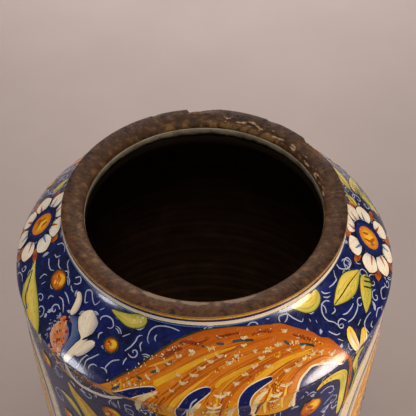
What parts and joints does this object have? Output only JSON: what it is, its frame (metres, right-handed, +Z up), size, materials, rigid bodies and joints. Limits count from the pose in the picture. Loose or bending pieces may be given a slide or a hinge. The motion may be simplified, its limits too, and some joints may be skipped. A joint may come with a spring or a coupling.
{
  "type": "painted earthenware jar",
  "caption": "Wide-mouthed glazed earthenware jar with a sharp-ridged shoulder, a waisted wall and a turned foot, painted with flowers and foliage.",
  "frame": {"origin": "centre of the foot's rest face, on the axis of the jar", "axes": "+Z up along the axis of the jar, out of the mouth; -Y towards the side that carries the big leaf"},
  "size_m": [0.1664, 0.1664, 0.286],
  "materials": {
    "bare_clay": "bare fired clay, fine turning marks",
    "stained_lip": "bare clay stained dark brown, worn, faint gloss",
    "luting_slip": "fired slip, matt",
    "inner_glaze": "very dark brown glaze with throwing rings",
    "pale_glaze": "grey-white tin glaze, glossy",
    "lined_glaze": "cream tin glaze with painted lines, glossy",
    "painted_glaze": "cobalt ground painted in white, yellow, orange and green, glossy"
  },
  "bodies": {
    "root": {"foot_ring": "bare_clay", "foot_luting_slip": "luting_slip", "floor_disc": "bare_clay", "floor_luting_slip": "luting_slip", "lower_wall": "bare_clay", "wall_luting_slip": "luting_slip", "upper_wall": "bare_clay", "shoulder_luting_slip": "luting_slip", "shoulder_dome": "bare_clay", "lip_luting_slip": "luting_slip", "mouth_lip": "stained_lip", "inner_glaze": "inner_glaze", "mouth_glaze_band": "pale_glaze", "neck_glaze_band": "lined_glaze", "shoulder_glaze": "painted_glaze", "ridge_glaze_line": "lined_glaze", "wall_glaze": "painted_glaze", "base_glaze": "painted_glaze"}
  },
  "joints": []
}
